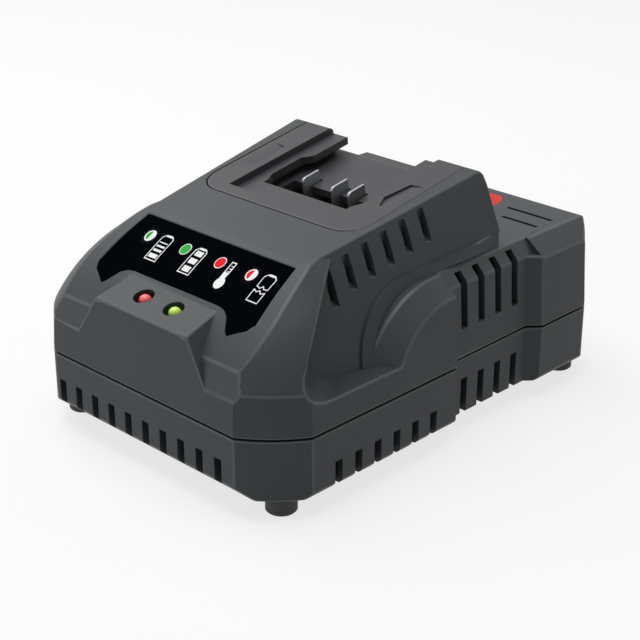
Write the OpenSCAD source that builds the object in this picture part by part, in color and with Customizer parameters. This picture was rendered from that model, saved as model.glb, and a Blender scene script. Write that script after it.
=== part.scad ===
// Power tool battery charger. Front is -Y, up is +Z, origin on the table under the middle of the body.

/* [Body] */
// Width over the flared corners at the seam
body_w = 112; // [110:1:116]
// Length from front wall to rear wall at the seam
body_l = 158; // [156:1:166]
// Height of the seam between base tray and cover
seam_z = 26; // [25:0.5:27]
// Open shadow line between base tray and cover
seam_gap = 0.6; // [0.4:0.1:0.9]
// Wall thickness of the mouldings
wall = 2.5; // [2.2:0.1:2.8]
// Lean of the cover walls for the mould, degrees
draft = 3.6; // [3:0.2:4.4]
// Length cut off each plan corner
corner_cut = 15.7; // [14:0.5:17]
// Radius of the crowned corner faces in plan
corner_r = 44.7; // [42:1:56]
// Clearance round pieces that drop into place
play = 0.3; // [0.2:0.05:0.4]

/* [Base tray] */
// Gap between table and base, left by the feet
base_z = 6.5; // [5.5:0.5:7]
// Height of the bevel along the front and rear bottom edges
base_bevel = 3.5; // [2.5:0.5:4]
// Height of the bevel along the side bottom edges
side_bevel = 1.5; // [1:0.5:2]
// Number of front slots
front_slots = 10; // [6:1:10]
// Left edge of the first front slot
front_slot_x = -38.6; // [-39:0.2:-36]
// Pitch of the front slots
front_slot_pitch = 7.87; // [7:0.1:8]
// Width of the air slots
slot_w = 3; // [2.4:0.1:3.4]
// Top of the front slots
front_slot_top = 17.2; // [15:0.5:19]
// Number of side slots near the front
side_slots = 6; // [4:1:6]
// Front edge of the first side slot
side_slot_y = -54.5; // [-56:0.5:-52]
// Pitch of the side slots
side_slot_pitch = 8.19; // [7.6:0.1:8.4]
// Top of the side slots
side_slot_top = 15; // [13:0.5:17]
// Number of low slots in the waist recess
waist_slots = 4; // [3:1:4]
// Top of the low slots in the waist recess
waist_slot_top = 18.6; // [16:0.5:20]

/* [Waist recess] */
// Sharp front end of the recess
recess_y0 = -1.4; // [-2:0.2:0]
// Rear end of its floor
recess_y1 = 37; // [36:0.5:38]
// Length of the ramp back to full width
recess_ramp = 4.1; // [3:0.5:6]
// Depth of the recess
recess_depth = 3.7; // [3:0.1:4]
// Front edge of the first tall slot
tall_slot_y = 5; // [4:0.5:6]
// Pitch of the tall slots and of the low slots under them
tall_slot_pitch = 8.2; // [8:0.1:8.6]
// Bottom of the tall slots
tall_slot_z = 35; // [33:0.5:37]

/* [Nose] */
// Height of the edge along the front belt
belt_z = 36.5; // [36:0.5:38]
// Radius of the curved front slope
slope_r = 97.3; // [96:0.5:99]
// Slope of the top deck, degrees
deck_tilt = 10; // [9:0.5:11]
// Height of the deck over the middle of the body
deck_z = 73.4; // [72.5:0.5:74.5]
// Rear end of the raised block
block_y = 27; // [26:0.5:28]
// Half width of the block at its front shoulder
shoulder_front = 34.5; // [34.3:0.1:35]
// Half width of the block at its rear shoulder
shoulder_rear = 39.5; // [39:0.5:40.5]
// Outward lean of the block walls per unit of height
wall_lean = 0.37; // [0.35:0.01:0.39]
// Outward lean of the facet along the top of the block walls
crown_lean = 0.53; // [0.5:0.01:0.56]
// Height of that facet at the front of the block
crown_front = 6.4; // [6:0.2:7]
// Height of that facet at the rear of the block
crown_rear = 4.4; // [4:0.2:5]
// Rounding of the rear top edge of the block
rear_r = 2; // [1.5:0.1:2.4]
// Height of the floor of the side pockets
shelf_z = 34.6; // [33.5:0.5:35]
// Number of louvres in each block wall
louvres = 6; // [4:1:6]
// Pitch of the louvres
louvre_pitch = 7.6; // [7.2:0.1:7.9]
// Slope of the louvre sills
sill_slope = 0.4; // [0.3:0.05:0.5]
// Fillet between the front wall and the floor of the side pockets
pocket_r = 7.5; // [6:0.5:8]

/* [Haunches] */
// Height of the flat rear platform
platform_z = 53.9; // [53:0.5:54.5]
// Half width of the platform at the start of its side facets
facet_x = 47.7; // [47:0.5:48.5]
// Radius of the arch at the front of each haunch
arch_r = 30.9; // [30:0.5:31.5]
// Place of the arch centre along the body
arch_y = -3.6; // [-5:0.5:-3]
// Height that the side and rear facets fall
facet_drop = 4.9; // [4.5:0.1:5.3]
// How far the collar at the foot of the block stands out
collar_out = 0.8; // [0.5:0.1:1.1]

/* [Cradle] */
// Half width of the cradle plate
cradle_x = 34; // [33.6:0.2:34.2]
// Front end of the cradle plate on the deck
cradle_y = -25.3; // [-27:0.5:-24.5]
// Radius of its front corners
cradle_r = 9; // [7:0.5:11]
// Thickness of the cradle plate
plate_t = 3.5; // [3.2:0.1:4]
// Step down from the side strips to the battery floor
rail_step = 2.2; // [2:0.1:2.4]
// Inner edge of the side strips
strip_x = 23.5; // [23:0.5:24.5]
// Thickness of the flanges that hold the battery down
flange_t = 2.5; // [2.2:0.1:2.8]
// Half gap between the flanges beside the blades
mouth_front = 19.8; // [19.4:0.2:20.2]
// Half gap between the flanges at the rear and at the very front
mouth_rear = 17; // [16:0.5:18]
// Depth of the battery channel floor below the deck
channel_depth = 7.4; // [7:0.1:8]
// Depth of the terminal well below the deck
well_depth = 20; // [18:0.5:21]
// Front wall of the terminal well
well_y = -11; // [-12:0.5:-10]
// Thickness of the contact blades
blade_t = 0.8; // [0.6:0.1:1]
// Length of the contact blades along the deck
blade_l = 7.5; // [7:0.1:8]
// Depth of the blade tips below the deck
blade_top = 3.9; // [3.5:0.1:4.5]

/* [Panel and lamps] */
// Thickness of the status panel
panel_t = 0.5; // [0.4:0.1:0.8]
// Radius of the lamp windows
window_r = 3.3; // [3:0.1:3.4]
// Distance of each lamp from the middle
lamp_x = 6.6; // [6:0.2:7.5]
// Radius of the lamps
lamp_r = 2.5; // [2:0.1:2.6]
// Depth of the lamp tips in their windows
lamp_sink = 1.8; // [1.4:0.1:2.4]

/* [Feet and fasteners] */
// Radius of the feet
foot_r = 4.7; // [4:0.1:5.2]
// Distance of the feet from the side walls
foot_side = 10.6; // [10:0.2:12]
// Distance of the feet from the end walls
foot_end = 13.4; // [12:0.2:15]
// Shaft radius of the cover screws
screw_r = 1.5; // [1.3:0.1:1.6]
// Head radius of the cover screws
head_r = 3; // [2.8:0.1:3.2]
// Shaft radius of the small screws
small_screw_r = 1; // [0.9:0.05:1.1]

/* [Electronics] */
// Width of the main board
board_w = 84; // [78:1:86]
// Distance of the main board from the ends of the body
board_end = 27; // [26.5:0.5:29]
// Thickness of the boards
board_t = 1.6; // [1.2:0.2:2]
// Height of the posts under the main board
post_h = 5; // [4:0.5:6]
// Outer radius of the round cord entry
gland_r = 5; // [4.6:0.2:5.4]
// Radius of the hole for the mains cord
cord_r = 3.4; // [3:0.1:3.6]

/* [Hidden] */
$fn = 96;
big = 400;
hair = 0.05;
tan_draft = tan(draft);
half_w = body_w / 2;
half_l = body_l / 2;

// Plan corners: the crowned face is part of a circle round corner_c
corner_half = corner_cut / sqrt(2);
corner_back = sqrt(corner_r * corner_r - corner_half * corner_half) / sqrt(2);
corner_c = [half_w - corner_cut / 2 - corner_back, half_l - corner_cut / 2 - corner_back];

// Front slope: circle through the belt kink, in the Y-Z plane
kink_in = 4;
kink = [-half_l + kink_in, 44.3];
slope_in = 73.4;
slope_half = slope_in - kink_in;
slope_c = [-half_l + slope_in, kink.y - sqrt(slope_r * slope_r - slope_half * slope_half)];
belt_y = -half_l + (belt_z - seam_z) * tan_draft;
tan_deck = tan(deck_tilt);

// Raised block: a facet leans out from the shoulder line and the wall goes on down more steeply
nose_l = 39;
shoulder_a = [shoulder_front, nose_l - half_l, deck_z + (nose_l - half_l) * tan_deck];
shoulder_b = [shoulder_rear, block_y, deck_z + block_y * tan_deck];
crown_n = unit(cross([crown_lean, 0, -1], shoulder_b - shoulder_a));
crown_d = crown_n * shoulder_a;
wall_a = shoulder_a + crown_front * [crown_lean, 0, -1];
wall_b = shoulder_b + crown_rear * [crown_lean, 0, -1];
wall_n = unit(cross([wall_lean, 0, -1], wall_b - wall_a));
wall_d = wall_n * wall_a;

// Louvres: place of the first behind the front wall, depths below the deck, drop from one to the next
louvre_in = 39.2;
louvre_top = 1;
louvre_foot = 8.7;
louvre_step = 0.3;
louvre_first = 1.2;

// Side pockets: front wall seen from above, its lean and a point at its foot
pocket_turn = 39.2;
pocket_lean = 11.4;
pocket_u = [half_w - 3.4, 13 - half_l] * [cos(pocket_turn), sin(pocket_turn)];

// Flared nose corners: a barrel face above a straight skirt, a cone above the barrel
barrel_r = 59.5;
barrel_in = -8.7;
barrel_z = 11;
cone_turn = 52.2;

// Side and rear facets of the haunches
facet_run = 6.6;
facet_over = 3;
rear_run = 7.5;
arch_z = platform_z - arch_r;
collar_c = [-10.2, 30];
collar_r = 25.8;
collar_slope = 5.7;
collar_x0 = 48.1;
collar_turn = 3.3;
recess_bend_z = 49.5;
recess_facet = 4.6;
tall_slot_top = platform_z - 1.3;
tall_slot_in = half_w - 11.5;
groove_w = 1.4;
groove_t = 0.6;
groove_x = 44;
grooves = [[half_l - 20, 26], [half_l - 28, 30]];

// Lamp bump on the nose
bump_tilt = 16.3;
bump_z = 49.6;
bump_l = 16.3;
bump_front = [-half_l + (bump_z - seam_z) * tan_draft, bump_z];
bump_foot_x = 28.5;
bump_top_x = 20.1;
bump_back = [18.7, bump_l - half_l, bump_z + (bump_l - (bump_z - seam_z) * tan_draft) * tan(bump_tilt)];
bump_n = unit(cross(bump_back - [bump_top_x, bump_front.x, bump_front.y],
                    [bump_top_x - bump_foot_x, bump_front.x - belt_y, bump_front.y - belt_z]));
bump_d = bump_n * [bump_foot_x, belt_y, belt_z];
lamp_y = 9 - half_l;
lamp_z = bump_front.y + (lamp_y - bump_front.x) * tan(bump_tilt);
lamp_h = 7.7;
lamp_board_w = 38;
lamp_board_l = 11;
lamp_post_x = 14.5;
lamp_post_r = 2.4;

// Status panel outline, right half, seen from above: half width and distance from the front wall
panel_half = [for (q = [[18.5, 15.8], [21, 15.5], [23.6, 14.2], [26.6, 10.8], [27.8, 10.1], [33, 12.8],
                        [34.2, 14.6], [31.7, 32.8]])
    [q.x, q.y - half_l]];

// Charge marker outline, right half, and its thickness
marker_points = [[21.6, half_l - 21.6], [20.6, half_l - 16], [17.8, half_l - 12.6]];
marker_t = 0.6;

// Base tray
floor_z = base_z + wall;
board_l = body_l - 2 * board_end;
board_z = floor_z + post_h;
board_top = board_z + board_t;
board_y = 2;
post_x = board_w / 2 - 5;
post_y = board_l / 2 - 5;
post_r = 3.2;
foot_x = half_w - foot_side;
foot_y = half_l - foot_end;
screw_x = half_w - 18;
screw_y = half_l - 19.5;
column_r = 4.2;
head_z = floor_z + 8;
head_h = 2.2;
screw_reach = 14;
gland_x = -22;
gland_z = 17.4;
gland_lip = 1.6;
clamp_y = half_l - 13;
clamp_l = 6;
clamp_h = 3;
clamp_half = 10.2;
clamp_screw_x = 7.6;

// Cradle
housing_x = strip_x + 2.2;
undercut_x = strip_x - 0.5;
channel_bottom = channel_depth + wall;
front_lip = 4.8;
floor_y = 2;
well_x = 18;
well_y1 = 9;
well_wall = 3.5;
block_top = 13;
foot_flange_t = 2;
ledge_t = 2.5;
ledge_w = 3.6;
mouth_half = [[mouth_rear, well_y], [mouth_front, well_y + 5.5], [mouth_front, well_y1 - 1],
              [mouth_rear, well_y1 + 2], [mouth_rear, block_y + 12]];
strip_pocket = [[28.1, -7.1], [31.5, -7.1], [31.7, 8.7], [27.4, 8.1], [25.7, -2.2]];
strip_pocket_t = 1;
blade_x = [-11.1, 1.5, 8.7];
blade_y = -0.9;
blade_bevel = 1.5;
blade_slot = 2.4;
cradle_screw_x = cradle_x - 2.6;
cradle_screw_y = [-14, 20];
block_screw_y = -1;
slide_y = block_y + 12;

// Small screws: head radius and height
pan_r = 2;
pan_h = 1.4;

// Electronics, placed for a board of the length layout_l
layout_l = 104;
core = [34, 30, 26];
core_at = [-14, 12];
core_limb = 6;
core_leg_r = 5;
coil_r = 11;
cheek_t = 1;
bulk_can = [9, 30];
output_can = [5, 20];
line_box = [18, 7, 13];
choke_r = 6.3;
choke_wire_r = 2.7;
fuse_r = 2.5;
fuse_l = 16;
fuse_z = 4.5;
clip = [3, 6.8, 5.5];
clip_t = 1.9;
rectifier_box = [4, 16, 15];
sink_x = 34;
sink_l = 46;
sink_t = 3;
sink_h = 26;
fins = 7;
fin_t = 1.6;
fin_w = 5;
fin_z = 12;
chip_box = [10, 18, 3.4];
socket_box = [16, 6, 7];
socket_wall = 1;

// Colours
shell_grey = "#3f4346";
deck_grey = "#5c5b5f";
panel_black = "#05070c";
rubber_black = "#141516";
steel = "#9aa0a4";
brass = "#b39a55";
board_green = "#2d5a3a";
part_black = "#202224";

function unit(v) = v / norm(v);

// Polygon with every edge moved inwards by t; the points run anticlockwise
function edge_cross(p, d, q, e) =
    p + d * (((q.x - p.x) * e.y - (q.y - p.y) * e.x) / (d.x * e.y - d.y * e.x));
function inset(points, t) = [
    for (i = [0 : len(points) - 1])
        let (a = points[(i + len(points) - 1) % len(points)],
             b = points[i],
             c = points[(i + 1) % len(points)],
             u = unit(b - a), v = unit(c - b))
        edge_cross(b + t * [-u.y, u.x], u, b + t * [-v.y, v.x], v)];
// Place of the rear wall of the block along the body at the height z
function rear_y(z) = block_y + (deck_z + block_y * tan_deck - z) * tan_draft;
// Rear top corner of the block, moved inwards by t
function rear_top(t) = edge_cross([0, deck_z - t / cos(deck_tilt)], [1, tan_deck],
                                  [rear_y(0) - t / cos(draft), 0], [-tan_draft, 1]);
function both_halves(half) = concat(half, [for (i = [len(half) - 1 : -1 : 0]) [-half[i].x, half[i].y]]);

module sides() {
    children();
    mirror([1, 0, 0]) children();
}

module corners() {
    sides() children();
    mirror([0, 1, 0]) sides() children();
}

// Everything on the far side of the plane n * p = d
module beyond(n, d) {
    rotate([0, acos(n.z), atan2(n.y, n.x)])
        translate([-big / 2, -big / 2, d])
            cube(big);
}

// Extrudes a drawing of the Y-Z plane across the body
module across(w) {
    translate([-w / 2, 0, 0])
        rotate([90, 0, 90])
            linear_extrude(w)
                children();
}

// Extrudes a drawing of the X-Z plane along the body
module along(y0, y1) {
    translate([0, y1, 0])
        rotate([90, 0, 0])
            linear_extrude(y1 - y0)
                children();
}

// What a rounding of radius r takes off a corner whose sides run along the unit vectors a and b
module round_off(corner, a, b, r) {
    half = acos(a * b) / 2;
    centre = corner + unit(a + b) * r / sin(half);
    difference() {
        polygon([corner - unit(a + b), corner + a * r / tan(half), centre, corner + b * r / tan(half)]);
        translate(centre)
            circle(r = r);
    }
}

// Side view of everything in front of the leaning rear wall of the block, with its rounded top edge
module before_rear(t) {
    difference() {
        polygon([[-big, 0], [rear_y(0) - t / cos(draft), 0],
                 [rear_y(100) - t / cos(draft), 100], [-big, 100]]);
        if (t < rear_r)
            round_off(
                rear_top(t), [-cos(deck_tilt), -sin(deck_tilt)], [sin(draft), -cos(draft)], rear_r - t);
    }
}

// Frame of the sloping top deck: its z = 0 is the deck surface
module on_deck() {
    translate([0, 0, deck_z])
        rotate([deck_tilt, 0, 0])
            children();
}

// Frame of the flat top of the lamp bump, centred between the lamps
module on_bump() {
    translate([0, lamp_y, lamp_z])
        rotate([bump_tilt, 0, 0])
            children();
}

module corner_block() {
    translate([half_w - corner_cut, half_l - corner_cut, 0])
        cube([corner_cut + 5, corner_cut + 5, 100]);
}

// ---- Base tray ----

module plan_corner(t) {
    difference() {
        corner_block();
        translate([corner_c.x, corner_c.y, -1])
            cylinder(r = corner_r - t, h = 102);
    }
}

module recess_plan(t) {
    polygon([[half_w - recess_depth - t, recess_y0 - t], [half_w - recess_depth - t, recess_y1 + t],
             [half_w + 1, recess_y1 + recess_ramp + t + 1], [half_w + 20, recess_y1 + recess_ramp + t + 1],
             [half_w + 20, recess_y0 - t]]);
}

module tray_form(t, z0) {
    difference() {
        translate([-half_w + t, -half_l + t, z0])
            cube([body_w - 2 * t, body_l - 2 * t, seam_z - z0]);
        corners() plan_corner(t);
        sides()
            linear_extrude(100)
                recess_plan(t);
    }
}

module tray_outside() {
    intersection() {
        tray_form(0, base_z);
        across(body_w + 2)
            polygon([[-half_l, seam_z], [-half_l, base_z + base_bevel], [-half_l + base_bevel, base_z],
                     [half_l - base_bevel, base_z], [half_l, base_z + base_bevel], [half_l, seam_z]]);
        along(-half_l - 1, half_l + 1)
            polygon([[-half_w, seam_z], [-half_w, base_z + side_bevel], [-half_w + side_bevel, base_z],
                     [half_w - side_bevel, base_z], [half_w, base_z + side_bevel], [half_w, seam_z]]);
    }
}

module front_slot_cuts() {
    for (i = [0 : front_slots - 1])
        translate([front_slot_x + i * front_slot_pitch, -half_l - 1, 0])
            cube([slot_w, wall + 2, front_slot_top]);
}

module side_slot_cuts() {
    for (i = [0 : side_slots - 1])
        translate([half_w - wall - 1, side_slot_y + i * side_slot_pitch, 0])
            cube([wall + 2, slot_w, side_slot_top]);
    for (i = [0 : waist_slots - 1])
        translate([half_w - recess_depth - wall - 1, tall_slot_y + i * tall_slot_pitch, 0])
            cube([wall + 2 + recess_depth, slot_w, waist_slot_top]);
}

module base_tray() {
    color(shell_grey)
        difference() {
            union() {
                difference() {
                    tray_outside();
                    tray_form(wall, floor_z);
                }
                // Columns that take the cover screws
                corners()
                    translate([screw_x, screw_y, base_z + 1])
                        cylinder(r = column_r, h = seam_z - base_z - 1);
                // Posts under the main board
                translate([0, board_y, 0])
                    corners()
                        translate([post_x, post_y, base_z + 1])
                            cylinder(r = post_r, h = board_z - base_z - 1);
                clamp_seat();
            }
            front_slot_cuts();
            sides() side_slot_cuts();
            corners() {
                translate([screw_x, screw_y, 0])
                    cylinder(r = head_r + play, h = head_z);
                translate([screw_x, screw_y, 0])
                    cylinder(r = screw_r + play, h = seam_z + 1);
                translate([foot_x, foot_y, base_z - 1])
                    cylinder(r = foot_r - 1.2, h = 2);
            }
            translate([0, board_y, 0])
                corners()
                    translate([post_x, post_y, floor_z])
                        cylinder(r = small_screw_r, h = post_h + 1);
            translate([gland_x, half_l - wall - 1, gland_z])
                rotate([-90, 0, 0])
                    cylinder(r = gland_r, h = wall + 2);
            translate([-half_w - 1, -half_l - 1, seam_z - seam_gap])
                cube([body_w + 2, body_l + 2, 1]);
        }
}

// ---- Cover ----

module envelope(t) {
    difference() {
        intersection() {
            along(-half_l, half_l)
                polygon([[-half_w + t, seam_z], [half_w - t, seam_z],
                         [half_w - t - (100 - seam_z) * tan_draft, 100],
                         [-half_w + t + (100 - seam_z) * tan_draft, 100]]);
            across(body_w)
                polygon([[-half_l + t, seam_z], [half_l - t, seam_z],
                         [half_l - t - (100 - seam_z) * tan_draft, 100],
                         [-half_l + t + (100 - seam_z) * tan_draft, 100]]);
        }
        sides() {
            nose_corner(t);
            tail_corner(t);
        }
    }
}

// Barrel face of a nose corner, from its upright axis outwards, with a cone tangent to it on top
module barrel_profile(t) {
    top = [barrel_in, barrel_z] + (barrel_r - t) * [cos(cone_turn), sin(cone_turn)];
    translate([barrel_in, barrel_z])
        circle(r = barrel_r - t);
    polygon([[0, top.y], top, [0, top.y + top.x / tan(cone_turn)]]);
}

// Flared, crowned corner of the nose: a barrel face above a leaning skirt
module nose_corner(t) {
    mirror([0, 1, 0])
        difference() {
            translate([-5, -5, 0])
                cube([half_w + 10, half_l + 10, 100]);
            translate([-6, -6, -1])
                cube([half_w - corner_cut + 6, half_l + 20, belt_z + 1]);
            translate([-6, -6, -1])
                cube([half_w + 20, half_l - corner_cut + 6, belt_z + 1]);
            translate([corner_c.x, corner_c.y, 0])
                rotate_extrude()
                    intersection() {
                        barrel_profile(t);
                        polygon([[0, 0], [corner_r - t + seam_z * tan_draft, 0],
                                 [corner_r - t - (100 - seam_z) * tan_draft, 100], [0, 100]]);
                    }
            translate([-6, -6, -1])
                cube([corner_c.x + 6, half_l + 20, 102]);
            translate([-6, -6, -1])
                cube([half_w + 20, corner_c.y + 6, 102]);
        }
}

module tail_corner(t) {
    difference() {
        corner_block();
        translate([corner_c.x, corner_c.y, 0])
            cylinder(r1 = corner_r - t + seam_z * tan_draft, r2 = corner_r - t - (101 - seam_z) * tan_draft,
                     h = 101);
    }
}

// Side view of the nose: belt, curved slope and sloping deck
module nose_profile(t) {
    belt = [belt_y, belt_z];
    deck_line = [0, deck_z];
    brow = edge_cross(belt, unit(kink - belt), deck_line, [1, tan_deck]);
    intersection() {
        polygon(inset([[-half_l - seam_z * tan_draft, 0], [half_l, 0], [half_l, deck_z + half_l * tan_deck],
                       brow, belt], t));
        before_rear(t);
        union() {
            translate(slope_c)
                circle(r = slope_r - t, $fn = 192);
            translate([slope_c.x - 20, 0])
                square([100, 100]);
        }
    }
}

// Cross-section of a side pocket: its front wall leans back and runs into the floor in a fillet
module pocket_profile(t) {
    foot = [pocket_u - t / cos(pocket_lean) - t * tan(pocket_lean), shelf_z - t];
    difference() {
        polygon([foot, foot + [big / 2, 0], foot + [big / 2, 60], foot + 60 * [tan(pocket_lean), 1]]);
        round_off(foot, [1, 0], [sin(pocket_lean), cos(pocket_lean)], pocket_r + t);
    }
}

// The nose side runs on rearwards, level with the end of its barrel face, till it meets the block wall
module outside_cheek(t) {
    along(-corner_c.y, -corner_c.y + 15)
        difference() {
            translate([corner_c.x, shelf_z - t])
                square([half_w, 60]);
            translate([corner_c.x, 0])
                barrel_profile(t);
        }
}

module pocket_space(t) {
    intersection() {
        union() {
            beyond(crown_n, crown_d - t);
            beyond(wall_n, wall_d - t);
        }
        union() {
            rotate([0, 0, pocket_turn])
                along(-big / 2, big / 2)
                    pocket_profile(t);
            outside_cheek(t);
        }
        translate([0, -half_l, shelf_z - t])
            cube([half_w + 10, half_l + block_y + 10, 60]);
    }
}

// Everything outside the upright faces at the foot of the block
module outside_collar(t) {
    translate([collar_x0 - t, 0, 0])
        rotate([0, 0, collar_turn])
            translate([0, -big / 2, 0])
                cube([big, big, 100]);
}

module collar_profile(t) {
    top = [collar_c.x - collar_r * sin(collar_slope), collar_c.y + collar_r * cos(collar_slope)];
    rear = half_l / 2;
    translate(collar_c)
        circle(r = collar_r - t);
    intersection() {
        polygon([[top.x, shelf_z - 5], [rear, shelf_z - 5],
                 [rear, top.y + (rear - top.x) * tan(collar_slope) - t / cos(collar_slope)],
                 top - [-t * sin(collar_slope), t * cos(collar_slope)]]);
        before_rear(t);
    }
}

module block_form(t) {
    difference() {
        intersection() {
            envelope(t);
            across(body_w)
                nose_profile(t);
        }
        sides() {
            pocket_space(t);
            intersection() {
                across(2 * body_w)
                    collar_profile(t);
                outside_collar(t);
                translate([0, collar_c.x, shelf_z])
                    cube([half_w, half_l, 60]);
            }
        }
    }
}

module collar_form(t) {
    difference() {
        across(2 * half_w - 2)
            collar_profile(t);
        translate([-half_w, -half_l, -1])
            cube([body_w, body_l, shelf_z - 4]);
        sides() {
            beyond(wall_n, wall_d + collar_out - t);
            outside_collar(t);
        }
    }
}

// Haunch and rear platform: one facet runs round the arch, along the side and across the rear
module haunch_form(t) {
    low_x = facet_x + facet_run + facet_over;
    fall = facet_drop * (facet_run + facet_over) / facet_run;
    low_z = platform_z - fall - facet_gap(t);
    intersection() {
        envelope(t);
        union() {
            difference() {
                along(arch_y, half_l)
                    polygon([[-low_x, seam_z], [low_x, seam_z], [low_x, low_z],
                             [facet_x - facet_step(t), platform_z - t],
                             [-facet_x + facet_step(t), platform_z - t], [-low_x, low_z]]);
                rear_facet(t);
            }
            translate([0, arch_y, arch_z]) {
                rotate([0, 90, 0])
                    translate([0, 0, -facet_x])
                        cylinder(r = arch_r - t, h = 2 * facet_x);
                sides()
                    translate([facet_x - facet_step(t), 0, 0])
                        rotate([0, 90, 0])
                            cylinder(r1 = arch_r - t, r2 = arch_r - t - fall, h = facet_run + facet_over);
            }
        }
        translate([-half_w, -half_l, seam_z])
            cube([body_w, body_l, 60]);
    }
}
function facet_step(t) =
    t * (sqrt(facet_run * facet_run + facet_drop * facet_drop) - facet_run) / facet_drop;
function facet_gap(t) = t * sqrt(facet_run * facet_run + facet_drop * facet_drop) / facet_run;

module rear_facet(t) {
    n = unit([0, facet_drop, rear_run]);
    top_y = half_l - (platform_z - facet_drop - seam_z) * tan_draft - rear_run;
    beyond(n, n * [0, top_y, platform_z] - t);
}

module skirt_form(t) {
    intersection() {
        envelope(t);
        translate([-half_w, -half_l, seam_z])
            cube([body_w, body_l, shelf_z - t - seam_z]);
    }
}

// Flat-topped bump that carries the two lamps
module bump_form(t) {
    difference() {
        across(2 * bump_foot_x + 10)
            polygon([[-half_l + t, seam_z], [bump_front.x + t, bump_front.y - t],
                     [bump_back.y + 8, bump_back.z + 8 * tan(bump_tilt) - t], [bump_back.y + 8, seam_z]]);
        sides() beyond(bump_n, bump_d - t);
    }
}

// The recess leans with the side wall and ends in a facet under the platform edge
module recess_space(t) {
    bend = [half_w - recess_depth - (recess_bend_z - seam_z) * tan_draft, recess_bend_z];
    translate([half_w, 0, seam_z])
        rotate([0, -draft, 0])
            translate([-half_w, 0, -5])
                linear_extrude(40)
                    recess_plan(t);
    along(recess_y0 - t, recess_y1 + recess_ramp + t)
        polygon([bend - [t, 0], [bend.x + 20, bend.y], [bend.x + 20, platform_z + 9],
                 [bend.x - t - recess_facet, platform_z + 0.5 - 0.4 * t]]);
}

module cover_form(t) {
    difference() {
        union() {
            block_form(t);
            collar_form(t);
            haunch_form(t);
            skirt_form(t);
            intersection() {
                bump_form(t);
                envelope(t);
            }
        }
        sides() recess_space(t);
    }
}

module tall_slot_cuts() {
    for (i = [0 : waist_slots - 1])
        translate([0, tall_slot_y + i * tall_slot_pitch, 0])
            along(0, slot_w)
                polygon([[half_w - recess_depth - wall - 4, tall_slot_z], [half_w + 5, tall_slot_z],
                         [half_w + 5, tall_slot_top], [tall_slot_in, tall_slot_top],
                         [tall_slot_in, recess_bend_z - 0.5]]);
}

// Scoops along the block wall: each starts shallow below the shoulder and breaks through above its sill
module louvre_cuts() {
    for (i = [0 : louvres - 1])
        let (y = louvre_in - half_l + i * louvre_pitch,
             sink = (louvres - 1 - i) * louvre_step + (i == 0 ? louvre_first : 0),
             deck = deck_z + y * tan_deck,
             along_block = (y - shoulder_a.y) / (shoulder_b.y - shoulder_a.y),
             shoulder_x = shoulder_front + (shoulder_rear - shoulder_front) * along_block,
             top = louvre_top + 0.9 * sink,
             foot = louvre_foot + 1.2 * sink,
             x = shoulder_x + crown_lean * top)
            translate([0, y, deck])
                along(0, slot_w - 0.4)
                    polygon([[x, -foot], [x + 12, -foot - 12 * sill_slope], [x + 12, -top], [x, -top]]);
}

module panel_shape() {
    polygon(both_halves(panel_half));
}

module panel_seat() {
    intersection() {
        linear_extrude(100)
            polygon(inset(both_halves(panel_half), -play));
        difference() {
            across(body_w)
                translate(slope_c)
                    circle(r = slope_r + 5, $fn = 192);
            across(body_w + 2)
                translate(slope_c)
                    circle(r = slope_r - panel_t - 2 * hair, $fn = 192);
        }
    }
}

module cradle_outline(grow) {
    x = cradle_x + grow;
    r = cradle_r + grow;
    y = cradle_y - grow;
    translate([-x, y + r])
        square([2 * x, slide_y - y - r]);
    translate([-x + r, y])
        square([2 * x - 2 * r, r + 1]);
    for (s = [-1, 1])
        translate([s * (x - r), y + r])
            circle(r = r);
}

module cover() {
    color(shell_grey)
        difference() {
            union() {
                difference() {
                    cover_form(0);
                    cover_form(wall);
                }
                cradle_ledge();
                cover_columns();
                lamp_posts();
            }
            // Opening for the cradle
            on_deck() {
                translate([0, 0, -plate_t - hair])
                    linear_extrude(30)
                        cradle_outline(play);
                translate([-housing_x - play, well_y - wall - play, -channel_bottom - play])
                    cube([2 * (housing_x + play), slide_y - well_y + wall + play, 30]);
                for (y = cradle_screw_y)
                    sides()
                        translate([cradle_screw_x, y, -plate_t - ledge_t - 1])
                            cylinder(r = small_screw_r + play, h = ledge_t + 2);
            }
            panel_seat();
            on_bump() {
                sides()
                    translate([lamp_x, 0, -wall - 1])
                        cylinder(r = window_r, h = wall + 3);
                sides()
                    translate([lamp_post_x, 0, -lamp_sink - lamp_h - 1])
                        cylinder(r = small_screw_r, h = lamp_h - 1);
            }
            sides() {
                tall_slot_cuts();
                louvre_cuts();
                translate([screw_x, screw_y, seam_z - 1])
                    cylinder(r = screw_r, h = screw_reach + 1);
                translate([screw_x, -screw_y, seam_z - 1])
                    cylinder(r = screw_r, h = screw_reach + 1);
            }
            marker_seat();
            grip_grooves();
        }
}

// Rim inside the deck opening that the cradle plate lies on
module cradle_ledge() {
    intersection() {
        block_form(hair);
        on_deck()
            difference() {
                translate([-half_w, cradle_y - ledge_w - play, -plate_t - ledge_t])
                    cube([body_w, block_y - cradle_y + ledge_w + 20, ledge_t + 1]);
                translate([-housing_x - play, well_y - wall - play, -30])
                    cube([2 * (housing_x + play), 100, 60]);
            }
    }
}

// Columns in the cover that the cover screws bite into
module cover_columns() {
    intersection() {
        cover_form(wall / 2);
        corners()
            translate([screw_x, screw_y, seam_z])
                cylinder(r = column_r, h = 60);
    }
}

// Posts under the bump that carry the lamp board
module lamp_posts() {
    on_bump()
        sides()
            translate([lamp_post_x, 0, -lamp_sink - lamp_h])
                cylinder(r = lamp_post_r, h = lamp_sink + lamp_h - wall + 0.5);
}

module grip_grooves() {
    sides()
        for (groove = grooves)
            translate([groove.y, groove.x - groove_w / 2, platform_z - groove_t])
                cube([groove_x - groove.y, groove_w, 2]);
}

// ---- Battery cradle ----

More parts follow.
